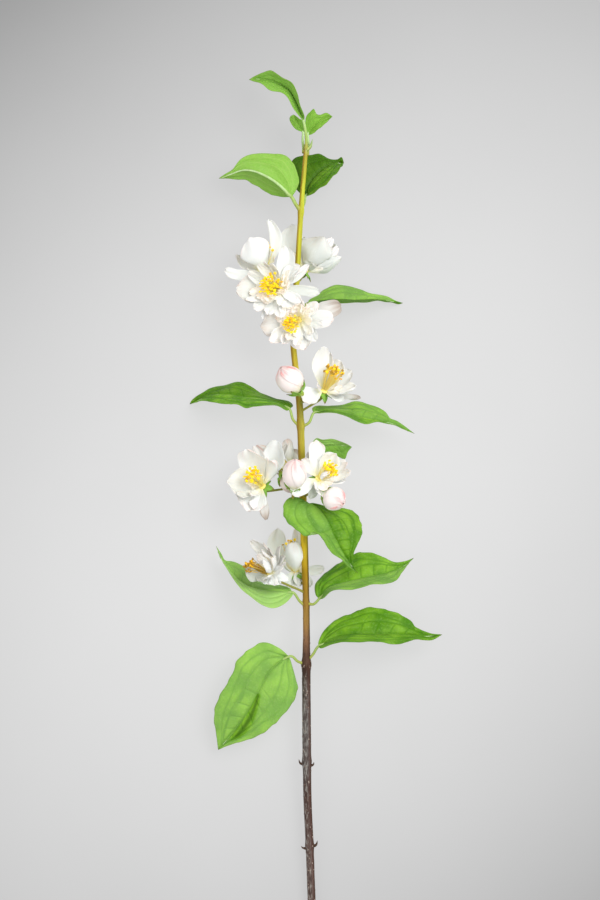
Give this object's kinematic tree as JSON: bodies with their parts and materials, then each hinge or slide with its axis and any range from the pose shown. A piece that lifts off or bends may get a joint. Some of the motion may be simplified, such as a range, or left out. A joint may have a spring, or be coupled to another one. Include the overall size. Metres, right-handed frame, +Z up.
{
  "type": "cherry blossom branch",
  "caption": "Cut flowering branch lying down: a thin woody stem with opposite toothed leaves, clusters of white double blossom with yellow stamens, and pink buds.",
  "frame": {"origin": "on the surface that the branch lies on, under the middle of its outline", "axes": "+Y along the branch from the cut end to the tip, +Z up from the surface towards the side that the picture shows"},
  "size_m": [0.1923, 0.6762, 0.0643],
  "materials": {
    "bark": "satin",
    "leaf": "satin",
    "petal": "matte",
    "bud": "matte",
    "stamen": "matte",
    "calyx": "matte"
  },
  "bodies": {
    "root": {"stem": "bark", "leaf_lower_left": "leaf", "leaf_lower_right": "leaf", "leaf_mid_right": "leaf", "leaf_mid_left": "leaf", "leaf_front": "leaf", "leaf_upper_right": "leaf", "leaf_upper_left": "leaf", "leaf_behind": "leaf", "leaf_high_right": "leaf", "leaf_crown_left": "leaf", "leaf_crown_right": "leaf", "leaf_tip_long": "leaf", "leaf_tip_right": "leaf", "leaf_tip_left": "leaf", "bloom_high_left_petals": "petal", "bloom_high_left_stamens": "stamen", "bloom_high_left_calyx": "calyx", "bloom_high_right_petals": "petal", "bloom_high_right_stamens": "stamen", "bloom_high_right_calyx": "calyx", "bloom_high_front_petals": "petal", "bloom_high_front_stamens": "stamen", "bloom_high_front_calyx": "calyx", "bloom_high_low_petals": "petal", "bloom_high_low_stamens": "stamen", "bloom_high_low_calyx": "calyx", "bloom_middle_petals": "petal", "bloom_middle_stamens": "stamen", "bloom_middle_calyx": "calyx", "bloom_low_left_petals": "petal", "bloom_low_left_stamens": "stamen", "bloom_low_left_calyx": "calyx", "bloom_low_right_petals": "petal", "bloom_low_right_stamens": "stamen", "bloom_low_right_calyx": "calyx", "bloom_low_behind_petals": "petal", "bloom_low_behind_stamens": "stamen", "bloom_low_behind_calyx": "calyx", "bloom_foot_left_petals": "petal", "bloom_foot_left_stamens": "stamen", "bloom_foot_left_calyx": "calyx", "bloom_foot_right_petals": "petal", "bloom_foot_right_stamens": "stamen", "bloom_foot_right_calyx": "calyx", "bud_middle_petals": "bud", "bud_middle_calyx": "calyx", "bud_low_front_petals": "bud", "bud_low_front_calyx": "calyx", "bud_low_right_petals": "bud", "bud_low_right_calyx": "calyx", "bud_low_small_petals": "bud", "bud_low_small_calyx": "calyx"}
  },
  "joints": []
}
